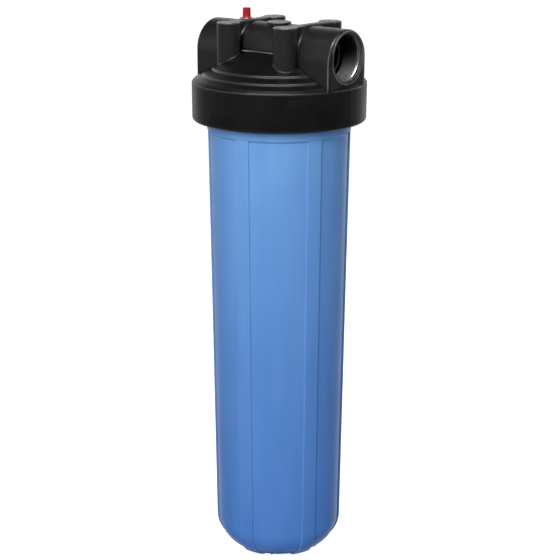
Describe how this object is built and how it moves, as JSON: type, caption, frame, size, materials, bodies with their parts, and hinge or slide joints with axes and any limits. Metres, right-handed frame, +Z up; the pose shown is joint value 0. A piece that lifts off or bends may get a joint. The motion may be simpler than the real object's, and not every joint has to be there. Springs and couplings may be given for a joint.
{
  "type": "cartridge filter housing",
  "caption": "Tall blue filter bowl screwed into a black two-port head with a red pressure-relief button and a pleated cartridge inside.",
  "frame": {"origin": "centre of the foot's underside", "axes": "+Z up along the housing's axis; +X along the port barrel towards the outlet; -Y is the front; the button is on the inlet side of the barrel"},
  "size_m": [0.184, 0.184, 0.606],
  "materials": {
    "head_black": "satin, fine moulded grain",
    "bowl_blue": "smooth satin moulding",
    "seal_rubber": "smooth, lightly greased",
    "button_red": "gloss",
    "stainless": "bright",
    "pleated_media": "matt non-woven",
    "white_plastic": "matt moulding"
  },
  "bodies": {
    "head": {"head": "head_black", "relief_spring": "stainless"},
    "seal": {"sump_o_ring": "seal_rubber"},
    "bowl": {"sump": "bowl_blue", "cartridge_media": "pleated_media", "cartridge_core": "white_plastic", "cartridge_cage": "white_plastic", "cartridge_top_cap": "white_plastic", "cartridge_bottom_cap": "white_plastic", "cartridge_top_gasket": "seal_rubber", "cartridge_bottom_gasket": "seal_rubber"},
    "button": {"relief_button": "button_red", "relief_o_ring": "seal_rubber", "relief_washer": "stainless", "relief_screw": "stainless"}
  },
  "joints": [
    {"name": "bowl_drop", "type": "slide", "parent": "head", "child": "seal", "axis": [0, 0, -1], "range_m": [0, 0.0201]},
    {"name": "bowl_turn", "type": "hinge", "parent": "seal", "child": "bowl", "pos_m": [0, 0, 0.5], "axis": [0, 0, -1], "range_deg": [0, 1200]},
    {"name": "button_press", "type": "slide", "parent": "head", "child": "button", "axis": [0, 0, -1], "range_m": [0, 0.003], "stiffness_N_per_m": 1500, "springref_m": -0.002, "deforming": ["relief_spring"]}
  ],
  "couplings": [
    {"joint": "bowl_drop", "follows": "bowl_turn", "m_per_rad": 0.00095493}
  ]
}
